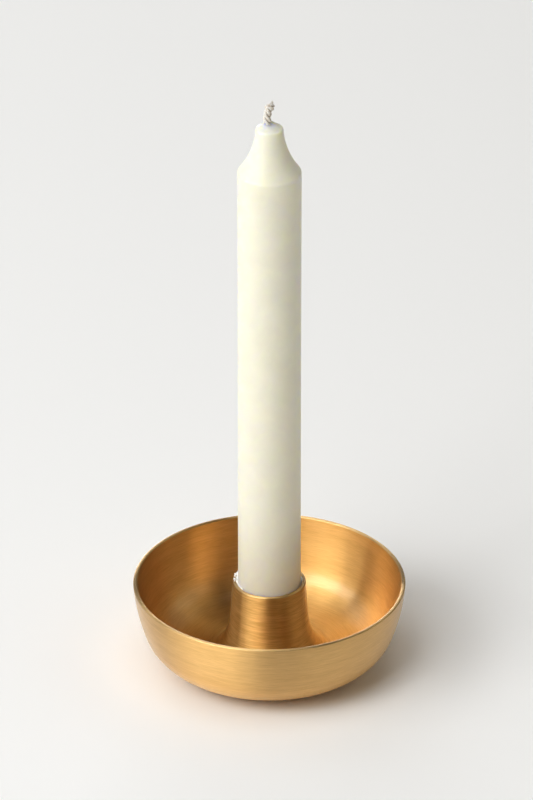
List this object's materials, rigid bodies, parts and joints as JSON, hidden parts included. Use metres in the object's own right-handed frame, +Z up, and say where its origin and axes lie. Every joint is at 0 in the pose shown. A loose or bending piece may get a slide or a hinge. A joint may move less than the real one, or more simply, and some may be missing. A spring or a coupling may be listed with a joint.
{
  "type": "candle holder",
  "caption": "Low round brushed-brass dish with a flared central socket holding an ivory dinner candle, on a felt ring.",
  "frame": {"origin": "centre of the underside, on the surface that the felt ring stands on", "axes": "+Z up along the common axis of dish, socket and candle; X and Y are level, and the bare end of the wick leans towards +X"},
  "size_m": [0.0956, 0.0956, 0.2188],
  "materials": {
    "brushed_brass": "brushed round the axis, clear lacquered",
    "steel": "zinc plated",
    "adhesive": "thin film",
    "felt": "pressed wool felt",
    "wax": "satin wax, ivory",
    "wick_cotton": "waxed plaited cotton"
  },
  "bodies": {
    "holder": {"dish": "brushed_brass", "socket": "brushed_brass", "socket_screw": "steel", "lock_washer": "steel", "flat_washer": "steel", "pad_adhesive": "adhesive", "felt_ring": "felt"},
    "collar": {"wax_collar": "wax"},
    "candle": {"candle_wax": "wax", "wick": "wick_cotton"}
  },
  "joints": [
    {"name": "candle_lift", "type": "slide", "parent": "holder", "child": "collar", "axis": [0, 0, 1], "range_m": [0, 0.04]},
    {"name": "candle_turn", "type": "hinge", "parent": "collar", "child": "candle", "pos_m": [0, 0, 0.03], "axis": [0, 0, 1], "continuous": true}
  ]
}
